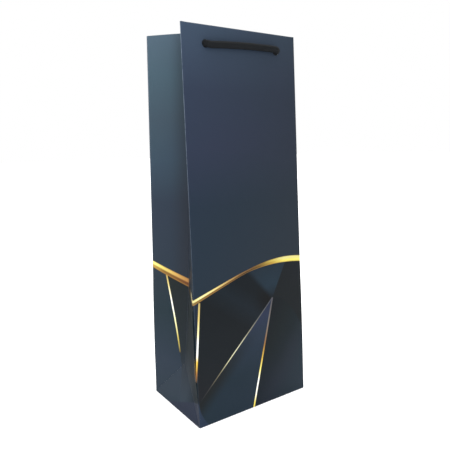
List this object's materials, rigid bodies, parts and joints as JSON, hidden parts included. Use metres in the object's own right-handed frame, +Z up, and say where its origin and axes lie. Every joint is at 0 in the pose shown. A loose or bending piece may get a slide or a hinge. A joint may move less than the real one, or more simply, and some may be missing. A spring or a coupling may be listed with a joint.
{
  "type": "wine gift bag",
  "caption": "Tall paper gift bag for a wine bottle: gusset sides, flat base with board, turned-in rim and knotted cord handles laid flat across front and back.",
  "frame": {"origin": "centre of the flat base, on the surface that the bag stands on", "axes": "+Z up, +X to the right along the front panel, +Y from the front panel to the back panel"},
  "size_m": [0.127, 0.089, 0.356],
  "materials": {
    "printed_paper": "satin laminated print",
    "bare_paper": "matt uncoated",
    "greyboard": "matt",
    "cord": "braided, dull"
  },
  "bodies": {
    "base": {"front_base_flap": "printed_paper", "back_base_flap": "printed_paper", "left_base_tuck": "printed_paper", "right_base_tuck": "printed_paper", "left_gusset_base_triangle": "printed_paper", "right_gusset_base_triangle": "printed_paper", "left_gusset_front_half": "printed_paper", "left_gusset_back_half": "printed_paper", "right_gusset_front_half": "printed_paper", "right_gusset_back_half": "printed_paper", "left_hem_front_half": "printed_paper", "left_hem_back_half": "printed_paper", "right_hem_front_half": "printed_paper", "right_hem_back_half": "printed_paper"},
    "front": {"front_panel": "printed_paper", "front_card": "greyboard", "front_hem": "printed_paper"},
    "back": {"back_panel": "printed_paper", "back_card": "greyboard", "back_hem": "printed_paper", "side_seam_flap": "bare_paper"},
    "front_handle": {"front_cord": "cord", "front_knots": "cord"},
    "back_handle": {"back_cord": "cord", "back_knots": "cord"},
    "board": {"base_board": "greyboard"}
  },
  "joints": [
    {"name": "front_fold", "type": "hinge", "parent": "base", "child": "front", "pos_m": [0, -0.0445, 0], "axis": [-1, 0, 0], "range_deg": [-1.9, 2.8], "stiffness_Nm_per_rad": 0.3, "deforming": ["left_gusset_front_half", "right_gusset_front_half", "left_hem_front_half", "right_hem_front_half"]},
    {"name": "back_fold", "type": "hinge", "parent": "base", "child": "back", "pos_m": [0, 0.0445, 0], "axis": [1, 0, 0], "range_deg": [-1.9, 2.8], "stiffness_Nm_per_rad": 0.3, "deforming": ["left_gusset_back_half", "right_gusset_back_half", "left_hem_back_half", "right_hem_back_half"]},
    {"name": "front_handle_pull", "type": "slide", "parent": "front", "child": "front_handle", "axis": [0, 0.0337, 0.9994], "range_m": [0, 0.095], "deforming": ["front_cord"]},
    {"name": "back_handle_pull", "type": "slide", "parent": "back", "child": "back_handle", "axis": [0, -0.0337, 0.9994], "range_m": [0, 0.095], "deforming": ["back_cord"]},
    {"name": "board_lift", "type": "slide", "parent": "base", "child": "board", "axis": [0, 0, 1], "range_m": [0, 0.005]}
  ],
  "couplings": [
    {"joint": "back_fold", "follows": "front_fold", "ratio": 1}
  ]
}
